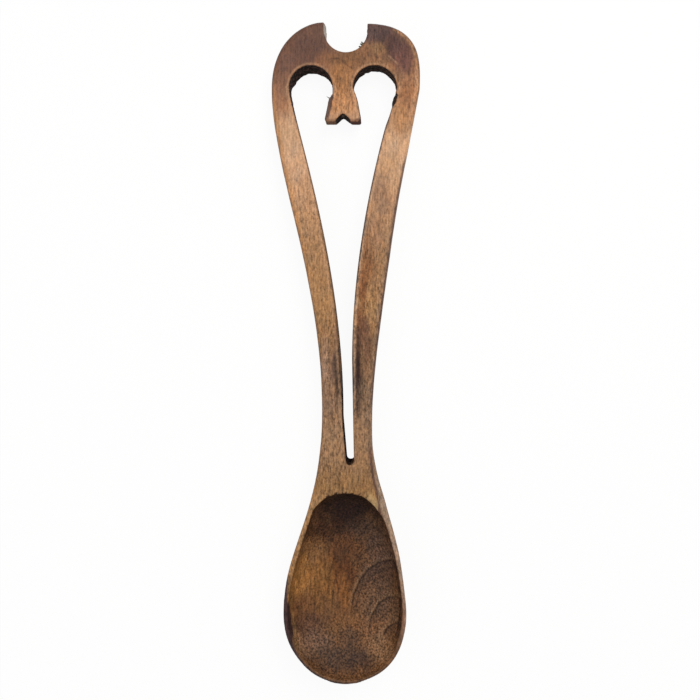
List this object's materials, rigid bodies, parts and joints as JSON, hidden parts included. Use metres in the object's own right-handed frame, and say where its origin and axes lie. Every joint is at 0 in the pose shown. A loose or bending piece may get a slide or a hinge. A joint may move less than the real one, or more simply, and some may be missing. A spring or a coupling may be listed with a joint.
{
  "type": "carved wooden love spoon",
  "caption": "Hand-carved wooden love spoon with an egg-shaped bowl, slit neck and open heart-shaped handle ending in a notched crown and forked tail.",
  "frame": {"origin": "on the table under the middle of the spoon's box, which lies on its back", "axes": "+Y to the head of the spoon, +X to the right seen from the carved front, +Z out of the carved front"},
  "size_m": [0.0648, 0.2866, 0.02],
  "materials": {
    "oiled_wood": "satin oil, stained and rubbed"
  },
  "bodies": {
    "root": {"bowl": "oiled_wood", "neck": "oiled_wood", "left_arm": "oiled_wood", "right_arm": "oiled_wood", "left_heart_lobe": "oiled_wood", "right_heart_lobe": "oiled_wood", "heart_crown": "oiled_wood", "forked_tail": "oiled_wood"}
  },
  "joints": []
}
